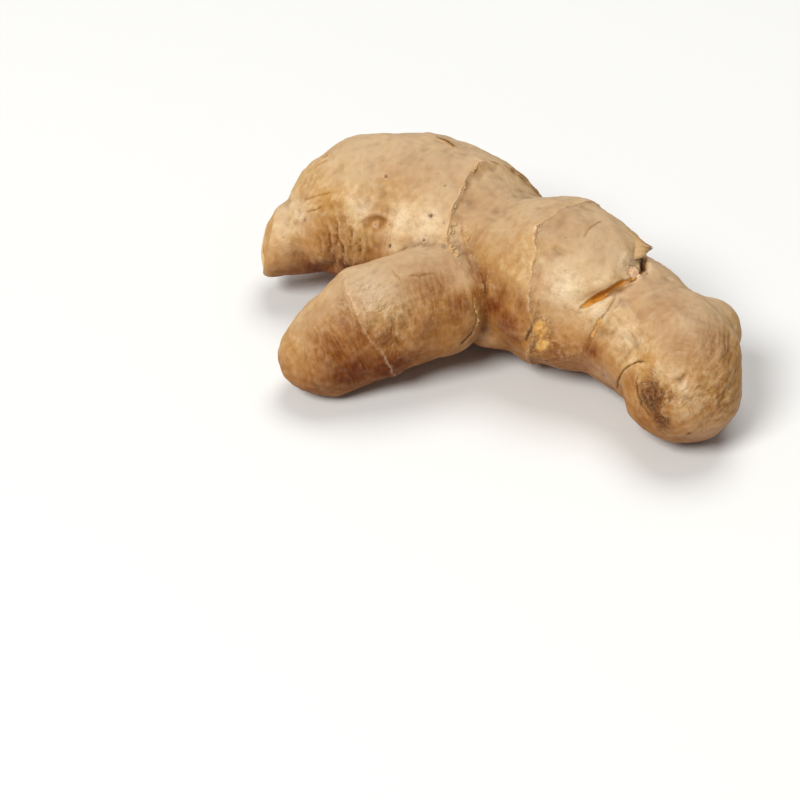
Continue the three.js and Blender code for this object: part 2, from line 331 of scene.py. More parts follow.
def bell(d, width):
    """1 where d is 0, falling to nothing past about twice the width."""
    return np.exp(-(d / width) ** 2)


def faces_of(data):
    """The points of each of a mesh's faces."""
    return [tuple(polygon.vertices) for polygon in data.polygons]


def keep_on_points(data, name, values, kind="FLOAT"):
    """Keeps values on a mesh's points as an attribute."""
    made = data.attributes.new(name, kind, "POINT")
    field_name = "vector" if kind == "FLOAT_VECTOR" else "value"
    made.data.foreach_set(field_name, np.asarray(values, np.float32).ravel())


def link_object(name, data):
    """A new object in the scene that shows some data."""
    made = bpy.data.objects.new(name, data)
    bpy.context.collection.objects.link(made)
    return made


# Shape of the lobes.

def spine_path(lobe):
    """Centres, ways, runs and half sizes along a lobe's spine, on a smooth curve through its knots."""
    knots = np.array(lobe["spine"], float)
    knots[:, :3] -= MIDDLE
    padded = np.vstack([2 * knots[0] - knots[1], knots, 2 * knots[-1] - knots[-2]])
    share = np.linspace(0, 1, SPAN_STEPS, endpoint=False)[:, None]
    centres, halves = [], []
    for k in range(len(knots) - 1):
        a, b, c, d = padded[k:k + 4, :3]
        before, here, after = (np.linalg.norm(v) ** 0.5 for v in (b - a, c - b, d - c))
        start = ((b - a) / before - (c - a) / (before + here) + (c - b) / here) * here
        stop = ((c - b) / here - (d - b) / (here + after) + (d - c) / after) * here
        bend = 3 * (c - b) - 2 * start - stop
        centres.append(b + share * start + share ** 2 * bend + share ** 3 * (2 * (b - c) + start + stop))
        a, b, c, d = padded[k:k + 4, 3:]
        curve = share * (2 * a - 5 * b + 4 * c - d + share * (3 * (b - c) + d - a))
        halves.append(b + 0.5 * share * (c - a + curve))
    centres = np.vstack(centres + [knots[-1:, :3]])
    halves = np.vstack(halves + [knots[-1:, 3:]])
    return centres, unit(np.gradient(centres, axis=0)), runs_along(centres), halves


def across_spine(ways):
    """The left and upward directions across a spine."""
    side = unit(np.cross(UP, ways))
    return side, np.cross(ways, side)


def out_of_spine(path, run, angle):
    """The spine's place and way at a run along it, and the direction out of it at an angle round it."""
    centres, ways, runs, _ = path
    centre, way = between_runs(run, runs, centres), between_runs(run, runs, ways)
    side, over = across_spine(way)
    return centre, way, side * math.cos(angle) + over * math.sin(angle)


def lobe_place(points, path):
    """Where points lie on a lobe: along its spine, across it, round it, and how far beyond its skin."""
    centres, ways, runs, halves = path
    nearest = np.empty(len(points), int)
    for start in range(0, len(points), CHUNK):
        block = points[start:start + CHUNK]
        nearest[start:start + CHUNK] = ((centres ** 2).sum(1) - 2 * block @ centres.T).argmin(1)
    out = points - centres[nearest]
    side, over = across_spine(ways[nearest])
    left, upward = (out * side).sum(1), (out * over).sum(1)
    wide, high = halves[nearest].T
    angle = np.arctan2(upward / high, left / wide)
    beyond = np.linalg.norm(out, axis=1) - np.hypot(wide * np.cos(angle), high * np.sin(angle))
    run = runs[nearest] + (out * ways[nearest]).sum(1)
    return dict(run=run, left=left, upward=upward, angle=angle, beyond=beyond)


def ring_line(ring, order, angle):
    """How far along the spine a ring lies at an angle round it, a little ragged."""
    turn = angle - math.radians(ring["towards"])
    ragged = 0.35 * np.sin(3 * turn + order) + 0.2 * np.sin(7 * turn)
    swing = ring["saddle"] * np.cos(2 * (angle - math.radians(ring["across"])))
    return ring["at"] + ring["lean"] * np.cos(turn) + swing + ragged


def scar(d):
    """The height of a ring scar at d millimetres past its edge, for a rise of one."""
    swell = np.exp(np.minimum(d, 0) / RING_SWELL)
    past = np.maximum(d, 0)
    return np.where(d <= 0, swell, 1.4 * np.exp(-past / RING_DROP) - 0.4 * np.exp(-past / RING_GROOVE))


def field(points, size, octaves=3, seed=0):
    """Smooth noise of about -1 to 1 over points, with features of a size in millimetres."""
    places = (points / size + 7.31 * seed).tolist()
    return np.array([noise.fractal(p, 0.9, 2.1, octaves) for p in places])


def grain_field(place, along, across, octaves=3, seed=0):
    """Smooth noise stretched by the way a lobe has grown, with features of two sizes in millimetres."""
    across_it = np.stack([place["run"] / along, place["left"] / across, place["upward"] / across], 1)
    return field(across_it, 1.0, octaves, seed)


# The skin's mesh.

class Mesh:
    """A mesh's points in millimetres, with smoothing over its edges."""

    def __init__(self, data):
        self.data = data
        count = len(data.vertices)
        flat = np.empty(count * 3)
        data.vertices.foreach_get("co", flat)
        self.points = flat.reshape(-1, 3) / MM
        ends = np.empty(len(data.edges) * 2, int)
        data.edges.foreach_get("vertices", ends)
        self.a, self.b = ends.reshape(-1, 2).T
        self.ties = np.bincount(self.a, minlength=count) + np.bincount(self.b, minlength=count)

    def mean(self, values):
        """Each point's mean of its neighbours' values."""
        if values.ndim == 2:
            return np.stack([self.mean(column) for column in values.T], 1)
        n = len(values)
        total = np.bincount(self.a, values[self.b], n) + np.bincount(self.b, values[self.a], n)
        return total / self.ties

    def smooth(self, values, passes):
        """Values drawn halfway to their neighbours' mean, again and again."""
        for _ in range(passes):
            values = values + 0.5 * (self.mean(values) - values)
        return values

    def tree(self):
        return BVHTree.FromPolygons(self.points.tolist(), faces_of(self.data))

    def store(self, points):
        self.points = points
        self.data.vertices.foreach_set("co", (points * MM).ravel())
        self.data.update()

    def normals(self):
        flat = np.empty(len(self.data.vertices) * 3, np.float32)
        self.data.vertex_normals.foreach_get("vector", flat)
        return flat.reshape(-1, 3).astype(float)


def fine_copy():
    """The solid's skin as an even fine mesh, smoothed until its facets are gone."""
    coarse = link_object("coarse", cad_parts["rhizome"].data.copy())
    weld = coarse.modifiers.new("weld", "WELD")
    weld.merge_threshold = 1e-6
    remesh = coarse.modifiers.new("remesh", "REMESH")
    remesh.mode = "VOXEL"
    remesh.voxel_size = VOXEL * MM
    evaluated = coarse.evaluated_get(bpy.context.evaluated_depsgraph_get())
    data = bpy.data.meshes.new_from_object(evaluated)
    bpy.data.objects.remove(coarse)
    data.materials.clear()
    data.name = "ginger skin"
    skin = Mesh(data)
    flat = skin.points[:, 2] < FLAT_BELOW
    smoothed = skin.smooth(skin.points, SMOOTH_PASSES)
    smoothed[:, 2] = np.where(flat, np.minimum(smoothed[:, 2], FLAT_TOP), smoothed[:, 2])
    skin.store(smoothed)
    return skin


# Casting the photograph's pixels on the skin.

class Photograph:
    """Finds the point of the skin that a pixel of the photograph shows."""

    def __init__(self, skin):
        self.tree = skin.tree()

    def on_skin(self, x, y):
        reach = LENS / SENSOR * FRAME_WIDTH
        half = FRAME_WIDTH / 2
        ray = FORWARD + RIGHT * (x - half) / reach - SKYWARD * (y - half) / reach
        return np.array(self.tree.ray_cast(EYE.tolist(), unit(ray).tolist())[0])

    def line(self, pixels, step=0.2):
        """The pixels' points on the skin, joined and divided evenly."""
        corners = np.array([self.on_skin(*pixel) for pixel in pixels])
        runs = runs_along(corners)
        return between_runs(np.linspace(0, runs[-1], int(runs[-1] / step)), runs, corners)


def perpendicular(points, normals, line):
    """Each point's distance to a line, its offset across it with a sign, and the share along it."""
    low, high = line.min(0) - LINE_REACH, line.max(0) + LINE_REACH
    near = np.flatnonzero(((points > low) & (points < high)).all(1))
    gap, offset = np.full((2, len(points)), FAR)
    share = np.zeros(len(points))
    out = points[near, None] - line[None]
    away = np.linalg.norm(out, axis=2)
    first = away.argmin(1)
    gap[near] = away.min(1)
    share[near] = first / (len(line) - 1)
    along = unit(np.gradient(line, axis=0)[first])
    nearest = out[np.arange(len(near)), first]
    offset[near] = (np.cross(along, nearest) * normals[near]).sum(1)
    return gap, offset, share


# Sculpting.

class Sculpture:
    """The skin while it is sculpted: relief along its normals in millimetres, and masks for its colours."""

    def __init__(self, skin):
        self.skin, self.points, self.normals = skin, skin.points, skin.normals()
        self.photo = Photograph(skin)
        self.relief = np.zeros(len(self.points))
        self.masks = dict(bare=np.full(len(self.points), AWAY), tint=np.zeros(len(self.points)))
        self.fine = field(self.points, 1.5, 2, 3)
        self.slow = field(self.points, 6, 2, 4)
        self.torn = field(self.points, 0.9, 3, 18)

    def raise_mask(self, name, values):
        """Raises a mask to the values where it is less."""
        self.masks[name] = np.maximum(self.masks.get(name, np.zeros(len(self.points))), values)

    def seen(self, x, y):
        """Each point's millimetres to the right of a pixel and above it, out of reach far behind it."""
        out = self.points - self.photo.on_skin(x, y)
        hidden = np.where(np.abs(out @ FORWARD) > IN_VIEW, FAR, 0.0)
        return out @ RIGHT + hidden, out @ SKYWARD

    def away_from(self, x, y):
        """Each point's distance to what a pixel shows."""
        return distance(self.points, self.photo.on_skin(x, y))

    def from_line(self, pixels):
        """Each point's distance to a line through pixels, its offset across it and the share along it."""
        return perpendicular(self.points, self.normals, self.photo.line(pixels))

    def patches(self, spots):
        """Soft round patches of the skin, by pixel."""
        total = np.zeros(len(self.points))
        for x, y, radius, strength in spots:
            total = np.maximum(total, strength * bell(self.away_from(x, y), radius))
        return total

    def bare(self, edge, tint):
        """Bare flesh where the edge's signed distance is less than 0. The nearest edge sets its tint."""
        held = self.masks["bare"]
        self.masks["tint"] = np.where(edge < held, tint, self.masks["tint"])
        self.masks["bare"] = np.minimum(held, edge)


def rings(s, places, names, owner):
    """The scale leaves' scars round the lobes."""
    nearest = np.full(len(s.points), AWAY)
    strength = np.zeros(len(s.points))
    for number, name in enumerate(names):
        share = s.skin.smooth((owner == number).astype(float), SHARE_PASSES)
        for order, ring in enumerate(LOBES[name]["rings"]):
            place = places[name]
            d = place["run"] - ring_line(ring, order, place["angle"]) + 0.35 * s.fine + 0.6 * s.slow
            uneven = np.clip(0.75 + 0.9 * s.slow, 0.25, 1.5)
            s.relief += share * ring["rise"] * uneven * scar(d)
            closer = (np.abs(d) < np.abs(nearest)) & (share > 0.05)
            nearest = np.where(closer, d, nearest)
            strength = np.where(closer, share * ring["ink"] * uneven, strength)
    s.masks["ring_gap"] = np.clip(nearest, -AWAY, AWAY)
    s.masks["ring_ink"] = strength


def drawn_lines(s):
    """Cracks and scars along the traced lines."""
    nearest, signed = np.full((2, len(s.points)), AWAY)
    width = np.full(len(s.points), 0.1)
    ink, rust = np.zeros((2, len(s.points)))
    for line in LINES.values():
        gap, offset, share = s.from_line(line["through"])
        taper = np.clip(np.minimum(share, 1 - share) * 7, 0, 1)
        s.relief -= line["depth"] * taper * bell(gap, max(line["width"], LINE_RELIEF)) * (1 + 0.4 * s.fine)
        closer = gap < nearest
        nearest = np.where(closer, gap, nearest)
        signed = np.where(closer, offset, signed)
        width = np.where(closer, line["width"], width)
        fade = taper * bell(gap, 1.6)
        ink = np.where(closer, line["ink"] * fade, ink)
        rust = np.where(closer, line["rust"] * fade, rust)
    s.masks.update(line_gap=np.clip(signed, -AWAY, AWAY), line_width=width, line_ink=ink, line_rust=rust)


def gathered_folds(s):
    """The stub's skin gathered into short hooked folds, with painted shade in their grooves, and the valley
    below it.
    """
    for x, y, high, depth in FOLDS:
        hook = [(x + right, y + high * down) for right, down in FOLD_HOOK]
        gap, offset, share = s.from_line(hook)
        taper = np.clip(np.minimum(share, 1 - share) * 4, 0, 1)
        fold = (0.8 * bell(offset - 0.9, 0.6) - bell(offset, 0.5)) * bell(gap, 3.0)
        s.relief += 0.6 * taper * depth * fold * (0.8 + s.torn)
        # Painted shade darkens each fold's groove.
        s.raise_mask("ink", 0.16 * taper * bell(gap, 0.4) * (0.7 + s.torn))
    gap, _, share = s.from_line(STUB_VALLEY)
    s.relief -= 0.9 * bell(gap, 2.2) * np.clip(1.2 - share, 0, 1)


def wrinkles(s, places, names, owner):
    """Crinkled, gathered and streaked skin, and the gentle unevenness of all of it."""
    keys = ("run", "left", "upward")
    grown = {key: np.choose(owner, [places[name][key] for name in names]) for key in keys}
    folds = dict(crinkled=s.patches(CRINKLED), gathered=s.patches(GATHERED), streaked=s.patches(STREAKED))
    creases = field(s.points + 1.2 * s.slow[:, None], 3.4, 3, 9)
    creasy = 0.5 - 1.3 * np.sqrt(creases ** 2 + 0.03) + 0.5 * field(s.points, 1.7, 2, 12)
    hooped = grain_field(grown, 2.2, 6.0, 3, 14)
    lined = grain_field(grown, 9.0, 1.9, 3, 15)
    s.relief += 0.55 * folds["crinkled"] * creasy + 0.36 * folds["gathered"] * hooped
    s.relief += 0.42 * folds["streaked"] * lined
    s.relief += 0.3 * field(s.points, 8.0, 2, 10) + 0.2 * field(s.points, 3.5, 2, 11)
    s.relief += 0.05 * grain_field(grown, 9.0, 2.5, 2, 16) + 0.05 * grain_field(grown, 2.5, 9.0, 2, 17)
    s.relief += bell(s.away_from(*KNOB), 6.5)
    s.masks.update(folds)


def pits(s):
    """Small round dark pits with low rims."""
    for x, y, radius, depth, ink in PITS:
        gap = s.away_from(x, y) * (1 + 0.45 * s.torn)
        s.relief += depth * (0.3 * bell(gap - 1.6 * radius, 0.6 * radius) - bell(gap, radius))
        s.raise_mask("ink", ink * bell(gap, max(radius, 0.3)))


def root_scars(s, paths):
    """Low rimmed scars of old roots on the sides that the photograph does not show."""
    for name, run, degrees, radius in ROOT_SCARS:
        centre, _, out = out_of_spine(paths[name], run, math.radians(degrees))
        hit = s.photo.tree.ray_cast((centre + out * OUTSIDE).tolist(), (-out).tolist())[0]
        gap = distance(s.points, np.array(hit)) * (1 + 0.3 * s.torn)
        s.relief += 0.3 * bell(gap - radius, 0.35)
        s.relief += 0.25 * bell(gap, 0.35 * radius) - 0.3 * bell(gap, 0.8 * radius)
        s.raise_mask("ink", 0.55 * bell(gap - 0.7 * radius, 0.22) * (0.6 + s.torn) + 0.3 * bell(gap, 0.25))
        s.raise_mask("rust", 0.4 * bell(gap - radius, 0.6))


def root_eye(s):
    """The scar of an old root: a lens-shaped hollow with a pale nub in it, and painted shade under its lid.
    """
    right, above = s.seen(*ROOT_EYE)
    hollow = np.hypot(right / 3.9, (above - 0.15) / 2.0)
    nub = np.hypot(right, above) + 0.12 * s.torn
    s.relief += 0.75 * bell(nub, 1.0) - 0.25 * bell(nub, 0.25) - 0.75 * bell(hollow, 0.8)
    lid = above - 1.7 + 0.12 * right ** 2
    span = bell(right, 3.2)
    s.relief += 0.35 * bell(lid - 0.55, 0.6) * span
    # Painted shade under the lid's fold.
    s.raise_mask("ink", 0.5 * bell(lid, 0.25) * span * (0.65 + s.torn))
    s.raise_mask("ink", 0.5 * bell(nub - 0.95, 0.22) * (0.45 + s.torn) + 0.35 * bell(nub, 0.2))
    s.raise_mask("rust", 0.6 * bell(hollow, 0.7))


def torn_slit(s):
    """The lens-shaped tear before the finger with flesh inside, its pale lip and the hole behind that,
    darkened with painted shade.
    """
    gap, _, share = s.from_line(SLIT)
    lens = np.sin(np.pi * np.clip(share / 0.8, 0, 1)) ** 0.85
    half = (0.76 + 0.44 * share) * lens + 0.2 * np.clip((share - 0.5) * 6, 0, 1) + 0.08 * s.torn
    s.relief -= 0.35 * np.clip(1.2 - (gap / np.maximum(half, 0.1)) ** 2, 0, 1) * (half > 0.12)
    s.relief += 0.15 * bell(gap - half - 0.35, 0.35) * (gap < 4)
    s.bare(np.where((share > 0) & (share < 1), gap - half, AWAY), 0.0)
    gap, _, share = s.from_line(CRACK_TEAR)
    s.bare(np.where((share > 0) & (share < 1), gap - 0.28 - 0.25 * s.torn, AWAY), 0.3)
    right, above = s.seen(*LIP_FLESH)
    flesh = np.hypot(right / 1.3, above / 1.2) - 1.0
    s.relief += 0.5 * bell(flesh + 1.0, 1.0) * (0.8 + s.torn)
    s.bare(flesh + 0.6 * s.torn, 1.0)
    right, above = s.seen(*LIP_HOLE)
    hole = np.hypot(right / 0.65, above / 1.25) * (1 + 0.4 * s.torn)
    s.relief -= 1.5 * bell(hole, 0.9)
    # Painted shade inside the hole.
    s.raise_mask("ink", 1.3 * bell(hole, 1.0))


def rootlets(s):
    """Bare yellow flesh where a row of rootlets broke off, with a flaky collar on its left that is partly
    painted shadow, and a dark rim of painted shadow round the flesh.
    """
    edge = np.full(len(s.points), AWAY)
    for x, y, wide, high in ROOTLETS:
        right, above = s.seen(x, y)
        reach = np.hypot(right / wide, above / high)
        edge = np.minimum(edge, (reach - 1) * wide)
        s.relief += 0.8 * bell(reach, 0.8) * (0.8 + 0.8 * s.torn)
    edge = edge + 0.5 * s.torn
    s.bare(edge, 0.5)
    right, above = s.seen(*ROOTLETS[0][:2])
    collar = bell(edge - 0.45, 0.4) * np.clip(0.35 - 0.5 * right, 0, 1) * (np.abs(right) < 8)
    s.relief += 0.4 * collar * (0.6 + s.torn)
    # The collar is partly its own brown and partly painted shadow.
    s.raise_mask("ink", 0.8 * collar * (0.5 + s.torn))
    s.relief += 0.3 * bell(edge - 0.5, 0.35) * (0.5 + s.torn)
    # A dark rim of painted shadow round the bare flesh.
    s.raise_mask("ink", 0.35 * bell(edge - 0.2, 0.22) * (0.35 + s.torn))


def bud_heart(s):
    """Wrinkled scale leaves wrapped round the bud's dark hairy heart."""
    tangle = field(s.points, 1.6, 3, 21)
    out = s.points - s.photo.on_skin(*BUD_HEARTS[0][:2])
    gap = np.linalg.norm(out * (1.3, 1, 0.8), axis=1)
    turn = np.arctan2(out[:, 2], out[:, 0])
    leaves = np.sin(gap * 1.9 + turn + 2.0 * tangle)
    s.relief += 0.12 * leaves * bell(gap, 5.0) + 0.2 * tangle * bell(gap, 4.0)
    for x, y, radius, strength in BUD_HEARTS:
        gap = s.away_from(x, y)
        s.relief -= 0.25 * bell(gap, 0.6 * radius)
        s.raise_mask("ink", strength * bell(gap, radius) * np.clip(0.35 - 0.7 * tangle - 0.25 * leaves, 0, 0.7))


def cut_face(s):
    """The knife cut at the stub's end: dried at the top, with bare flesh low down."""
    out = s.points - CUT_AT
    ahead = out @ CUT_FACING
    near = np.linalg.norm(out, axis=1) < 12
    oval = 5.4 * (np.hypot(out[:, 1] / 6.0, (out[:, 2] + 2.6) / 4.8) - 1) + 0.8 * s.fine + 0.5 * s.slow
    s.bare(np.where(near, np.maximum(-0.35 - ahead, oval), AWAY), 0.8)
    rim = np.clip((np.hypot(out[:, 1], out[:, 2]) - 3) / 4, 0, 1)
    s.relief -= near * 1.1 * rim * np.clip(1 + ahead / 2.8, 0, 1) ** 2
    s.raise_mask("rust", near * 0.8 * np.clip(1.6 + ahead * 2, 0, 1) * np.clip(0.6 - out[:, 2] * 0.25, 0.15, 1))


def sculpt():
    """The finished skin and what the other pieces need to know about it."""
    skin = fine_copy()
    s = Sculpture(skin)
    paths = {name: spine_path(lobe) for name, lobe in LOBES.items()}
    places = {name: lobe_place(s.points, path) for name, path in paths.items()}
    names = list(LOBES)
    owner = np.argmin([places[name]["beyond"] for name in names], axis=0)
    rings(s, places, names, owner)
    drawn_lines(s)
    gathered_folds(s)
    wrinkles(s, places, names, owner)
    pits(s)
    root_scars(s, paths)
    root_eye(s)
    torn_slit(s)
    rootlets(s)
    bud_heart(s)
    cut_face(s)
    # Paler skin with painted light, and brown skin with painted shade.
    s.masks["pale"], s.masks["brown"] = s.patches(PALE_AND_LIT), s.patches(BROWN_AND_SHADE)
    sculpted = s.points + s.normals * s.relief[:, None]
    sculpted[:, 2] = np.maximum(sculpted[:, 2], 0.0)
    skin.store(sculpted)
    keep_attributes(skin, s.masks, names, owner, places)
    return skin, s.photo, paths, owner, names


def keep_attributes(skin, masks, names, owner, places):
    """What the skin's colours read: masks, the way of the grain, and where the skin is hollow."""
    points, normals = skin.points, skin.normals()
    for name, values in masks.items():
        keep_on_points(skin.data, name, values)
    # How the skin faces, which the colours use for painted light on its top and painted shade low down.
    facing_up = skin.smooth(normals, FACING_PASSES)[:, 2]
    keep_on_points(skin.data, "under", np.clip((0.5 - facing_up) / 1.3, 0, 1))
    keep_on_points(skin.data, "over", np.clip(facing_up, 0, 1))
    grain = np.zeros((len(points), 3))
    whole = np.ones(len(points))
    for number, name in enumerate(names):
        mine, place = owner == number, places[name]
        whole[mine] = skin.smooth(mine.astype(float), SEAM_PASSES)[mine]
        grain[mine] = np.stack([place["run"], place["left"], place["upward"]], 1)[mine] + 40.0 * number
    keep_on_points(skin.data, "grain", grain, "FLOAT_VECTOR")
    keep_on_points(skin.data, "whole", whole)
    for name, passes, strength in (("hollow", NEAR_PASSES, 10), ("crease", FAR_PASSES, 1.1)):
        sunk = ((skin.smooth(points, passes) - points) * normals).sum(1)
        keep_on_points(skin.data, name, np.clip(sunk * strength, -1, 1))


# Shader graphs.

class Graph:
    """Adds nodes to a tree: their settings first, then the values or links of their sockets."""

    def __init__(self, tree):
        self.tree = tree
        tree.nodes.clear()

    def node(self, kind, settings=None, sockets=None):
        made = self.tree.nodes.new(kind)
        for name, value in (settings or {}).items():
            setattr(made, name, value)
        for key, value in (sockets or {}).items():
            if isinstance(value, Value):
                self.tree.links.new(value.socket, made.inputs[key])
            elif isinstance(value, bpy.types.NodeSocket):
                self.tree.links.new(value, made.inputs[key])
            else:
                made.inputs[key].default_value = value
        return made

    def attribute(self, name, vector=False):
        made = self.node("ShaderNodeAttribute", {"attribute_name": name})
        return made.outputs["Vector"] if vector else Value(self, made.outputs["Fac"])

    def scaled(self, vector, factors):
        sockets = {0: vector, 1: factors}
        return self.node("ShaderNodeVectorMath", {"operation": "MULTIPLY"}, sockets).outputs[0]

    def noise(self, vector, scale, detail=3.0, rough=0.55, twist=0.0):
        sockets = {
            "Vector": vector, "Scale": scale, "Detail": detail, "Roughness": rough, "Distortion": twist,
        }
        return Value(self, self.node("ShaderNodeTexNoise", None, sockets).outputs["Fac"])

    def mix(self, share, a, b, blend="MIX"):
        settings = {"data_type": "RGBA", "blend_type": blend, "clamp_factor": True}
        return self.node("ShaderNodeMix", settings, {0: share, 6: a, 7: b}).outputs[2]


class Value:
    """A number that varies over the surface. An expression on it adds its Math nodes."""

    def __init__(self, graph, socket):
        self.graph, self.socket = graph, socket

    def combine(self, operation, *terms):
        made = self.graph.node("ShaderNodeMath", {"operation": operation}, dict(enumerate(terms)))
        return Value(self.graph, made.outputs[0])

    def __add__(self, other):
        return self.combine("ADD", self, other)

    def __radd__(self, other):
        return self.combine("ADD", other, self)

    def __sub__(self, other):
        return self.combine("SUBTRACT", self, other)

    def __rsub__(self, other):
        return self.combine("SUBTRACT", other, self)

    def __mul__(self, other):
        return self.combine("MULTIPLY", self, other)

    def __rmul__(self, other):
        return self.combine("MULTIPLY", other, self)

    def __abs__(self):
        return self.combine("ABSOLUTE", self)

    def least(self, other):
        return self.combine("MINIMUM", self, other)

    def most(self, other):
        return self.combine("MAXIMUM", self, other)

    def between(self, low, high):
        """0 below low, 1 above high, smooth between."""
        settings = {"interpolation_type": "SMOOTHSTEP"}
        sockets = {"Value": self, "From Min": low, "From Max": high}
        return Value(self.graph, self.graph.node("ShaderNodeMapRange", settings, sockets).outputs[0])


def tone(red, green, blue):
    """A colour of 0 to 255 as a shader's linear colour."""
    shares = (red / 255, green / 255, blue / 255)
    return (*(c / 12.92 if c <= 0.04045 else ((c + 0.055) / 1.055) ** 2.4 for c in shares), 1.0)


# Materials.

CREAM = tone(236, 214, 180)
TAN = tone(190, 150, 92)
HONEY = tone(180, 131, 64)
BARK = tone(146, 98, 47)
LIT_TOP_TAN = tone(189, 162, 130)
SHADE_AMBER = tone(198, 138, 66)
SHADED = tone(197, 158, 112)
DEEP_BROWN_AND_SHADE = tone(122, 66, 22)
UMBER = tone(90, 48, 18)
DARK_SCAR = tone(74, 44, 22)
RUST = tone(204, 140, 58)
TEAR = tone(206, 136, 44)
FLESH = tone(198, 138, 54)
PALE_FLESH = tone(228, 184, 110)
CUT_FLESH = tone(218, 168, 66)
LIP_PINK = tone(224, 186, 150)


STRAW = tone(196, 156, 106)
LEAF_ROOT = tone(188, 150, 102)
LEAF_ORANGE = tone(184, 122, 52)
HAIR_DARK = tone(96, 60, 32)
HAIR_PALE = tone(158, 114, 66)


def new_material(name):
    """A new material and the graph of its nodes."""
    made = bpy.data.materials.new(name)
    made.use_nodes = True
    return made, Graph(made.node_tree)


def millimetres(g):
    """The place on the piece, in millimetres."""
    return g.scaled(g.node("ShaderNodeTexCoord").outputs["Object"], (1000, 1000, 1000))


def fine_relief(g, height, strength):
    """A normal for a height in millimetres."""
    sockets = {"Height": height, "Distance": MM, "Strength": strength}
    return g.node("ShaderNodeBump", None, sockets).outputs[0]


def shade(g, sockets):
    """Ends a material's graph with its shader."""
    shader = g.node("ShaderNodeBsdfPrincipled", None, sockets)
    g.node("ShaderNodeOutputMaterial", None, {"Surface": shader.outputs[0]})


class SkinPatterns:
    """What varies over the skin: masks kept on its points, noises of many sizes, and marks made of both."""

    KEPT = (
        "ink", "rust", "tint", "pale", "brown", "under", "over", "crinkled", "gathered", "streaked",
        "hollow", "crease", "ring_ink", "line_ink", "line_rust",
    )

    def __init__(self, g):
        self.place = millimetres(g)
        self.grain = g.attribute("grain", vector=True)
        for name in self.KEPT:
            setattr(self, name, g.attribute(name))
        self.noises(g)
        self.growth(g)
        self.marks(g)

    def noises(self, g):
        """Clouds and specks, named from wide to fine."""
        self.broad = g.noise(self.place, 0.05, 2)
        self.blotch = g.noise(self.place, 0.13, 4, 0.6, 0.8)
        self.cloudy = g.noise(self.place, 0.22, 3, 0.5, 0.4)
        self.patchy = g.noise(self.place, 0.4, 2, 0.5, 0.5)
        self.mottle = g.noise(self.place, 0.75, 4, 0.6)
        self.ragged = g.noise(self.place, 1.7, 3, 0.6)
        self.speck = g.noise(self.place, 2.8, 2, 0.5)
        voronoi = g.node("ShaderNodeTexVoronoi", None, {"Vector": self.place, "Scale": 0.3})
        cells = Value(g, voronoi.outputs["Distance"])
        self.dots = (1 - cells.between(0.04, 0.1)) * g.noise(self.place, 0.13, 1).between(0.5, 0.6)

    def growth(self, g):
        """Fibres and streaks the way the root has grown and hoops across it, none at the lobes' seams."""
        whole = g.attribute("whole").between(0.6, 0.98)

        def stretched(factors, rough, twist):
            return 0.5 + whole * (g.noise(g.scaled(self.grain, factors), 1.0, 3, rough, twist) - 0.5)

        self.fibre = stretched((0.4, 2.2, 2.2), 0.6, 0.3)
        self.hoops = stretched((2.0, 0.4, 0.4), 0.6, 0.3)
        self.streaks = stretched((0.12, 0.7, 0.7), 0.5, 0.4)

    def marks(self, g):
        """The rings' edges, the drawn cracks, and where the flesh lies open."""
        self.ring_gap = g.attribute("ring_gap") + (self.ragged - 0.5) * 0.9
        ring_edge = 1 - abs(self.ring_gap - 0.05).between(0.07, 0.24)
        self.ring_edge = ring_edge * (0.45 + self.mottle).least(1.0)
        self.line_gap = abs(g.attribute("line_gap") + (self.ragged - 0.5) * 0.6)
        self.line_width = g.attribute("line_width") * (self.speck * 2.4 - 0.2).most(0.1)
        outside = self.line_gap.between(self.line_width * 0.4, self.line_width * 1.4)
        self.drawn = (1 - outside) * self.line_ink
        self.edge = g.attribute("bare") + (self.ragged - 0.5) * 0.3
        soft = self.tint.between(0.3, 0.45) * (1 - self.tint.between(0.55, 0.7))
        self.opened = 1 - self.edge.between(-0.1 - soft * 0.6, 0.12 + soft * 0.2)


def mottled_skin(g, skin):
    """Tan to honey skin, mottled at every size, with painted light making its top paler and painted shade
    making it warmer low down.
    """
    colour = g.mix((skin.cloudy * 0.6 + skin.broad * 0.6).between(0.48, 0.74), TAN, HONEY)
    colour = g.mix((skin.pale * (0.65 + skin.cloudy * 0.7)).least(1.0) * 0.9, colour, CREAM)
    colour = g.mix(skin.streaks.between(0.5, 0.75) * 0.16, colour, CREAM)
    colour = g.mix(skin.blotch.between(0.52, 0.7) * 0.3, colour, BARK)
    colour = g.mix(skin.mottle.between(0.5, 0.75) * 0.26, colour, BARK)
    colour = g.mix(skin.mottle.between(0.5, 0.3) * 0.16, colour, CREAM)
    colour = g.mix(skin.patchy.between(0.5, 0.68) * 0.22, colour, BARK)
    colour = g.mix(skin.patchy.between(0.5, 0.34) * 0.2, colour, CREAM)
    threads = (skin.fibre.between(0.5, 0.7) + skin.hoops.between(0.52, 0.72)).least(1.0)
    colour = g.mix(threads * 0.16, colour, BARK)
    colour = g.mix(skin.speck.between(0.55, 0.75) * 0.2, colour, BARK)
    combed = (skin.streaks.between(0.5, 0.35) + skin.fibre.between(0.45, 0.65)).least(1.0)
    colour = g.mix(skin.streaked * combed * 0.35, colour, BARK)
    # Painted light: paler and greyer where the skin faces up.
    colour = g.mix(skin.over.between(0.5, 1.0) * 0.8, colour, LIT_TOP_TAN)
    # Painted shade: warmer where the skin faces sideways and down.
    return g.mix(skin.over.between(0.5, 0.0) * 0.4, colour, SHADE_AMBER)


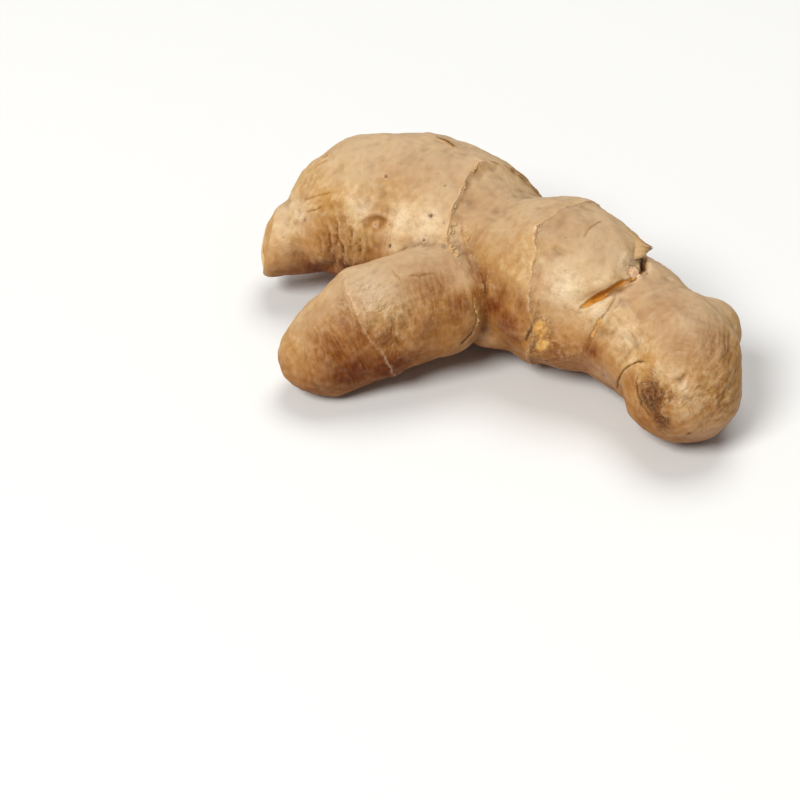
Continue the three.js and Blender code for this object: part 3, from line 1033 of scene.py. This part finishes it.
def shaded_and_weathered_skin(g, skin, colour):
    """Painted shade low down and in the brown patches, which are partly brown skin; painted shade in the
    hollows and creases; paler raised spots, dots and rust.
    """
    # Painted shade low down, partly a browner underside.
    colour = g.mix((skin.under * (0.65 + skin.mottle * 0.7)).least(1.0) * 0.8, colour, DEEP_BROWN_AND_SHADE)
    # The brown patches: partly brown skin, partly painted shade multiplied in.
    shaded = skin.brown * (0.76 + skin.mottle * 0.24 + skin.hoops.between(0.35, 0.65) * 0.22)
    colour = g.mix(shaded.least(1.0), colour, SHADED, "MULTIPLY")
    colour = g.mix((shaded * 2.0 - 1.1).most(0.0).least(1.0), colour, SHADED, "MULTIPLY")
    # Painted shade in the hollows and creases.
    hollow_shade = skin.hollow.most(0.0) * (0.5 - skin.crinkled * 0.4) + skin.crease.most(0.0) * 0.8
    colour = g.mix((hollow_shade * (0.55 + skin.mottle)).least(0.85), colour, UMBER)
    # Paler on raised spots and ridges.
    raised_pale = (skin.hollow * -1.0).most(0.0) * 0.2 + (skin.crease * -1.0).most(0.0) * 0.04
    colour = g.mix(raised_pale.least(0.6), colour, CREAM)
    colour = g.mix(skin.dots * 0.4, colour, UMBER)
    return g.mix((skin.rust * (0.3 + skin.mottle)).least(1.0) * 0.8, colour, RUST)


def ring_marks(g, skin, colour):
    """A ring scar: a rusty glow before its edge, the broken dark edge and its pale lip."""
    glow = (1 - abs(skin.ring_gap + 0.35).between(0.1, 0.6)) * (skin.mottle - 0.2)
    colour = g.mix((glow * skin.ring_ink).most(0.0) * 0.9, colour, RUST)
    colour = g.mix((skin.ring_edge * skin.ring_ink).least(1.0) * 0.6, colour, UMBER)
    lip = (1 - abs(skin.ring_gap + 0.22).between(0.03, 0.2)) * (skin.ring_ink * 1.5).least(1.0)
    return g.mix(lip * (1.5 - skin.mottle * 2.0).most(0.0) * 0.45, colour, CREAM)


def crack_marks(g, skin, colour):
    """The drawn cracks with their rusty edges, and the inked marks."""
    glow = (1 - skin.line_gap.between(skin.line_width, skin.line_width * 3.0)) * skin.line_rust
    colour = g.mix((glow * (skin.mottle * 1.6 - 0.2)).most(0.0).least(0.8), colour, RUST)
    colour = g.mix((skin.drawn * (skin.mottle * 2.2 - 0.3)).most(0.0).least(0.85), colour, DARK_SCAR)
    return g.mix((skin.ink * (0.6 + skin.mottle * 0.8)).least(1.0) * 0.92, colour, DARK_SCAR)


def open_flesh(g, skin, colour):
    """Flesh where the skin is broken, orange in the slit, yellow at the cut and pink at the lip."""
    stump = g.mix(skin.mottle.between(0.3, 0.7), FLESH, PALE_FLESH)
    inner = g.mix(skin.tint.between(0.1, 0.4), TEAR, stump)
    cut = g.mix(skin.speck.between(0.35, 0.7) * 0.5, CUT_FLESH, FLESH)
    inner = g.mix(skin.tint.between(0.6, 0.75), inner, cut)
    lip = g.mix(skin.ragged.between(0.5, 0.65) * 0.6, LIP_PINK, FLESH)
    inner = g.mix(skin.tint.between(0.85, 0.95), inner, lip)
    colour = g.mix((1 - abs(skin.edge - 0.15).between(0.05, 0.25)) * 0.35, colour, BARK)
    return g.mix(skin.opened, colour, inner)


def skin_height(g, skin):
    """The skin's finest relief in millimetres."""
    puckers = g.noise(skin.place, 0.6, 3, 0.5, 1.6)
    gills = g.noise(g.scaled(skin.grain, (1.1, 0.3, 0.3)), 1.0, 3, 0.6, 0.8)
    grown = skin.fibre * 0.06 + skin.hoops * 0.05 + skin.streaks * 0.04
    rough = skin.mottle * 0.13 + skin.speck * 0.04 + skin.patchy * 0.2
    folded = skin.crinkled * puckers * 0.7 + skin.gathered * gills * 0.5
    combed = skin.streaked * (skin.fibre * 0.15 + skin.streaks * 0.5)
    sunk = skin.dots * 0.05 + skin.drawn * 0.14 + skin.ring_edge * skin.ring_ink * 0.12 + skin.opened * 0.12
    return grown + rough + folded + combed - sunk


def skin_material():
    """Dry thin ginger skin: faint fibres, dark scars and drawn cracks, and flesh where it is broken."""
    made, g = new_material("ginger skin")
    skin = SkinPatterns(g)
    colour = shaded_and_weathered_skin(g, skin, mottled_skin(g, skin))
    colour = crack_marks(g, skin, ring_marks(g, skin, colour))
    rough = 0.58 - 0.1 * skin.pale + 0.08 * skin.brown - 0.14 * skin.crinkled - 0.22 * skin.opened
    rough = rough + 0.2 * (skin.mottle - 0.5)
    waxy = (0.3 * skin.pale + 0.2 * skin.crinkled + 0.5 * skin.opened).least(0.6)
    shade(g, {
        "Base Color": open_flesh(g, skin, colour), "Roughness": rough,
        "Normal": fine_relief(g, skin_height(g, skin), 1.0),
        "Subsurface Weight": 0.12, "Subsurface Radius": (1.0, 0.4, 0.12), "Subsurface Scale": 0.002,
        "Specular IOR Level": 0.12, "Coat Weight": waxy, "Coat Roughness": 0.38,
    })
    return made


def papery_material():
    """Dry papery scale leaf: brown where it is rooted, straw to orange at its torn edge."""
    made, g = new_material("papery scale leaf")
    place = millimetres(g)
    edge = g.attribute("edge")
    tint = g.noise(place, 0.5, 3, 0.6)
    streak = g.noise(place, 2.4, 3, 0.6)
    colour = g.mix(edge.between(0.1, 0.8), LEAF_ROOT, STRAW)
    colour = g.mix(tint.between(0.45, 0.65) * edge, colour, LEAF_ORANGE)
    colour = g.mix(streak.between(0.45, 0.7) * 0.25, colour, UMBER)
    shade(g, {
        "Base Color": colour, "Roughness": 0.55 + 0.15 * tint, "Normal": fine_relief(g, streak * 0.05, 0.8),
        "Subsurface Weight": 0.15, "Subsurface Scale": 0.0012,
    })
    return made


def hair_material():
    """Short dark dry hairs on the bud."""
    made, g = new_material("bud hairs")
    tint = g.noise(millimetres(g), 1.4, 2)
    colour = g.mix(tint.between(0.35, 0.65), HAIR_DARK, HAIR_PALE)
    shade(g, {"Base Color": colour, "Roughness": 0.6 + 0.1 * tint})
    return made


# Scale leaves: ragged skirts along the rings and a flake at the lip.

class Sheets:
    """Thin closed sheets in one mesh, each from a grid of points with a way up for each of its stations."""

    def __init__(self):
        self.corners, self.faces, self.edges = [], [], []

    def add(self, grid, upward, shares):
        """One sheet under a grid of stations by rows, with each row's share of the way to its free edge."""
        stations, rows = grid.shape[:2]
        below = grid - upward[:, None] * SHEET_THICKNESS
        around = np.concatenate([grid, below[:, ::-1]], axis=1)
        first, size = len(self.corners), 2 * rows
        self.corners += (around.reshape(-1, 3) * MM).tolist()
        self.edges += (list(shares) + list(shares)[::-1]) * stations
        for i in range(stations - 1):
            here, there = first + i * size, first + (i + 1) * size
            for j in range(size):
                k = (j + 1) % size
                self.faces.append((here + j, here + k, there + k, there + j))
        last = first + (stations - 1) * size
        self.faces.append(tuple(first + j for j in reversed(range(size))))
        self.faces.append(tuple(last + j for j in range(size)))

    def mesh(self, name):
        data = bpy.data.meshes.new(name)
        data.from_pydata(self.corners, [], self.faces)
        keep_on_points(data, "edge", self.edges)
        return data


def ring_runs(skin, surface, paths, owner, names):
    """Runs of points on the skin along each papery ring, with the way up and the way forward."""
    runs = []
    for name, lobe in LOBES.items():
        for order, ring in enumerate(lobe["rings"]):
            if ring["papery"] == 0:
                continue
            run = []
            for angle in np.radians(np.arange(0, 361, RING_TURN)):
                centre, way, out = out_of_spine(paths[name], ring_line(ring, order, angle), angle)
                hit, upward, face, _ = surface.ray_cast((centre + out * OUTSIDE).tolist(), (-out).tolist())
                mine = hit is not None and names[owner[skin.data.polygons[face].vertices[0]]] == name
                if mine and hit.z > 1.0:
                    up = np.array(upward)
                    run.append((np.array(hit), up, unit(way - up * (way @ up))))
                else:
                    runs.append((ring["papery"], run))
                    run = []
            runs.append((ring["papery"], run))
    return [(papery, run) for papery, run in runs if len(run) > 5]


def add_edge(sheets, run, limit, torn_at):
    """A ragged sheet along a run of points, rooted in the skin and lifted a little at its free edge."""
    corners, upward, forward = (np.array(column) for column in zip(*run))
    runs = runs_along(corners)
    marks = np.arange(0, runs[-1], SKIRT_STEP)
    at, up, ahead = (between_runs(marks, runs, values) for values in (corners, upward, forward))
    quick, slow = field(at, 0.8, 3, 31), field(at, 5.0, 2, 32)
    torn = bell(distance(at, torn_at), 3.5)
    reach = limit * np.clip(0.35 + 0.7 * slow + 0.9 * quick, 0, 1.0)
    reach += torn * np.clip(0.4 + 1.4 * quick, 0, 1.4)
    lift = reach * np.clip(0.22 + 0.5 * field(at, 2.0, 2, 33), 0.02, 0.6)
    shift = 0.3 * field(at, 1.5, 2, 34)
    fade = np.minimum(1, np.minimum(marks, marks[-1] - marks) / 2)
    rows = []
    for t in SKIRT_ROWS:
        out = shift - 0.1 + fade * reach * t
        over = fade * lift * t ** 1.5 - 0.06 + 0.05 * t
        rows.append(at + ahead * out[:, None] + up * over[:, None])
    sheets.add(np.stack(rows, 1), up, SKIRT_ROWS)


def add_flap(sheets, surface, photo, pixels, limit, torn_at):
    """A torn edge of scale leaf along a traced line, pointing to its right."""
    line = photo.line(pixels)
    run = []
    for point, way in zip(line, np.gradient(line, axis=0)):
        nearest, upward, _, _ = surface.find_nearest(point.tolist())
        run.append((np.array(nearest), np.array(upward), unit(np.cross(np.array(upward), way))))
    add_edge(sheets, run, limit, torn_at)


def add_lip_flake(sheets, photo):
    """The pointed flake that stands out at the lip's edge."""
    upper, lower = photo.on_skin(*LIP_FLAKE[0]), photo.on_skin(*LIP_FLAKE[1])
    root = (upper + lower) / 2
    across = lower - upper
    over, under, tip = np.array(LIP_FLAKE) * PIXEL
    right, down = tip - (over + under) / 2
    reach = RIGHT * right - SKYWARD * down
    up = unit(np.cross(across, reach))
    up *= np.sign(up @ UP)
    shares = np.array(SKIRT_ROWS)
    grid = np.stack([
        root + across * side * (1 - 0.95 * shares[:, None] ** 1.7)
        + reach * shares[:, None] * (1 + 0.14 * math.sin(19 * side))
        + up * (0.2 * np.sin(np.pi * shares) - 1.2 * side ** 2)[:, None]
        for side in np.linspace(-0.5, 0.5, FLAKE_STATIONS)
    ])
    sheets.add(grid, np.repeat(up[None], FLAKE_STATIONS, axis=0), 0.5 * shares ** 3)


# Hairs on the bud, by geometry nodes.

def group_sockets(tree, inputs):
    """Gives a tree its base mesh, its named inputs and its result."""
    tree.interface.new_socket("Base", in_out="INPUT", socket_type="NodeSocketGeometry")
    for name, kind in inputs.items():
        tree.interface.new_socket(name, in_out="INPUT", socket_type=kind)
    tree.interface.new_socket("Result", in_out="OUTPUT", socket_type="NodeSocketGeometry")


def facing_rotation(g, upward, forward, tilt_low, tilt_high, seed):
    """A rotation that lays a shape on the skin, pointing forward, with a random tilt."""
    names = {}
    for name in (upward, forward):
        settings = {"data_type": "FLOAT_VECTOR"}
        names[name] = g.node("GeometryNodeInputNamedAttribute", settings, {"Name": name}).outputs[0]
    stand = g.node("FunctionNodeAlignRotationToVector", {"axis": "Z"}, {"Vector": names[upward]})
    lay = g.node("FunctionNodeAlignRotationToVector", {"axis": "X", "pivot_axis": "Z"},
                 {"Rotation": stand.outputs[0], "Vector": names[forward]})
    turn = g.node("FunctionNodeRandomValue", {"data_type": "FLOAT_VECTOR"},
                  {0: tilt_low, 1: tilt_high, "Seed": seed})
    rotated = g.node("FunctionNodeRotateRotation", {"rotation_space": "LOCAL"},
                     {"Rotation": lay.outputs[0], "Rotate By": turn.outputs[0]})
    return rotated.outputs[0]


def hair_tree():
    """Short fine hairs over a patch of skin, combed forward."""
    tree = bpy.data.node_groups.new("bud hairs", "GeometryNodeTree")
    group_sockets(tree, {
        "Density": "NodeSocketFloat", "Length": "NodeSocketFloat", "Seed": "NodeSocketInt",
        "Finish": "NodeSocketMaterial",
    })
    g = Graph(tree)
    given = g.node("NodeGroupInput").outputs
    cover = g.node("GeometryNodeInputNamedAttribute", {"data_type": "FLOAT"}, {"Name": "cover"}).outputs[0]
    density = g.node("ShaderNodeMath", {"operation": "MULTIPLY"}, {0: cover, 1: given["Density"]})
    spread = g.node("GeometryNodeDistributePointsOnFaces", {"distribute_method": "RANDOM"},
                    {0: given["Base"], "Density": density.outputs[0], "Seed": given["Seed"]})
    hair = g.node("GeometryNodeMeshCone", None, {
        "Vertices": 4, "Side Segments": 5, "Radius Top": 0.012, "Radius Bottom": 0.04, "Depth": 1.0})
    rotation = facing_rotation(g, "upward", "forward", (-0.3, 0.95, -0.7), (0.3, 1.45, 0.7), given["Seed"])
    factors = g.node("FunctionNodeRandomValue", {"data_type": "FLOAT_VECTOR"},
                     {0: (0.8, 0.8, 0.5), 1: (1.3, 1.3, 1.4), "Seed": given["Seed"]})
    sized = g.node("ShaderNodeVectorMath", {"operation": "SCALE"},
                   {0: factors.outputs[0], "Scale": given["Length"]})
    placed = g.node("GeometryNodeInstanceOnPoints", None, {
        "Points": spread.outputs[0], "Instance": hair.outputs[0], "Rotation": rotation,
        "Scale": sized.outputs[0]})
    real = g.node("GeometryNodeRealizeInstances", None, {0: placed.outputs[0]})
    wave = g.node("ShaderNodeTexNoise", None, {"Scale": 700.0, "Detail": 1.0})
    centred = g.node("ShaderNodeVectorMath", {"operation": "SUBTRACT"},
                     {0: wave.outputs["Color"], 1: (0.5, 0.5, 0.5)})
    drift = g.node("ShaderNodeVectorMath", {"operation": "SCALE"}, {0: centred.outputs[0], "Scale": 0.0009})
    bent = g.node("GeometryNodeSetPosition", None, {0: real.outputs[0], "Offset": drift.outputs[0]})
    dressed = g.node("GeometryNodeSetMaterial", None, {0: bent.outputs[0], "Material": given["Finish"]})
    g.node("NodeGroupOutput", None, {0: dressed.outputs[0]})
    return tree


def grow(name, base, tree, values):
    """A plain mesh object from a geometry-nodes tree over a base mesh."""
    seed_object = link_object(name + " base", base)
    modifier = seed_object.modifiers.new("grow", "NODES")
    modifier.node_group = tree
    for item in tree.interface.items_tree:
        if item.in_out == "INPUT" and item.name in values:
            modifier[item.identifier] = values[item.name]
    evaluated = seed_object.evaluated_get(bpy.context.evaluated_depsgraph_get())
    data = bpy.data.meshes.new_from_object(evaluated)
    bpy.data.objects.remove(seed_object)
    return data


def bud_patch(skin, photo):
    """The skin's faces round the bud's heart, with how thickly hair covers them and which way it lies."""
    centre = photo.on_skin(*BUD_HEARTS[0][:2])
    near = distance(skin.points, centre) < HAIR_REACH
    faces = [face for face in faces_of(skin.data) if near[face[0]]]
    used = sorted({v for face in faces for v in face})
    number = {v: i for i, v in enumerate(used)}
    points, normals = skin.points[used], skin.normals()[used]
    data = bpy.data.meshes.new("bud patch")
    data.from_pydata((points * MM).tolist(), [], [[number[v] for v in face] for face in faces])
    out = points - centre
    around = np.cross(normals, out) + 0.6 * out
    around -= normals * (around * normals).sum(1)[:, None]
    cover = np.zeros(len(used))
    for x, y, radius, strength in BUD_HEARTS:
        cover = np.maximum(cover, strength * bell(distance(points, photo.on_skin(x, y)), radius))
    keep_on_points(data, "upward", normals, "FLOAT_VECTOR")
    keep_on_points(data, "forward", unit(around), "FLOAT_VECTOR")
    keep_on_points(data, "cover", cover)
    return data


# The pieces.

def add_piece(name, data, finish):
    """A piece of the root's outside in the frame, smooth all over."""
    for polygon in data.polygons:
        polygon.use_smooth = True
    piece = link_object(name, data)
    data.materials.clear()
    data.materials.append(finish)
    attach(piece, "root")
    return piece


def build_root():
    """The root's skin in place of its solid, with its papery shreds and the bud's hairs."""
    skin, photo, paths, owner, names = sculpt()
    piece = add_piece("ginger_skin", skin.data, skin_material())
    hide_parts("rhizome")

    surface = skin.tree()
    sheets = Sheets()
    torn_at = photo.on_skin(*TORN_RING)
    for papery, run in ring_runs(skin, surface, paths, owner, names):
        add_edge(sheets, run, papery, torn_at)
    for pixels, limit in FLAPS:
        add_flap(sheets, surface, photo, pixels, limit, torn_at)
    add_lip_flake(sheets, photo)
    add_piece("ring_shreds", sheets.mesh("scale leaves"), papery_material())

    finish = hair_material()
    values = {"Density": HAIR_DENSITY, "Length": HAIR_LENGTH, "Seed": HAIR_SEED, "Finish": finish}
    hairs = grow("bud hairs", bud_patch(skin, photo), hair_tree(), values)
    add_piece("bud_hairs", hairs, finish)


# Studio.

def area_light(name, at, size, power, colour):
    """A round lamp that shines on the root."""
    data = bpy.data.lights.new(name, "AREA")
    data.shape = "DISK"
    data.size = size
    data.energy = power
    data.color = colour
    lamp = link_object(name, data)
    lamp.location = at
    lamp.rotation_euler = (Vector(LIGHTS_AIM) - Vector(at)).to_track_quat("-Z", "Y").to_euler()


def photo_camera():
    """The camera that sees the root as the photograph does."""
    data = bpy.data.cameras.new("camera")
    data.lens, data.sensor_width, data.sensor_fit = LENS, SENSOR, "HORIZONTAL"
    data.clip_start, data.clip_end = VIEW_NEAR, VIEW_FAR
    camera = link_object("camera", data)
    camera.location = (EYE * MM).tolist()
    camera.rotation_euler = (math.pi / 2 - ELEVATION, 0, 0)
    bpy.context.scene.camera = camera
    bpy.context.scene.view_settings.view_transform = "Standard"


def white_floor():
    """A wide white floor under the root."""
    data = bpy.data.meshes.new("floor")
    corners = [(x * FLOOR_HALF, y * FLOOR_HALF, 0) for x, y in ((-1, -1), (1, -1), (1, 1), (-1, 1))]
    data.from_pydata(corners, [], [(0, 1, 2, 3)])
    floor = link_object("floor", data)
    white, g = new_material("pale floor")
    shade(g, {"Base Color": FLOOR_WHITE, "Roughness": 0.8})
    data.materials.append(white)


def soft_room():
    """Even light from all round."""
    world = bpy.data.worlds.new("soft room")
    world.use_nodes = True
    g = Graph(world.node_tree)
    sky = g.node("ShaderNodeBackground", None, {"Color": ROOM_WHITE, "Strength": ROOM_LIGHT})
    g.node("ShaderNodeOutputWorld", None, {"Surface": sky.outputs[0]})
    bpy.context.scene.world = world


def studio():
    """The camera, the floor and the lights."""
    photo_camera()
    white_floor()
    soft_room()
    for name, lamp in LIGHTS.items():
        area_light(name, **lamp)


build_root()
studio()
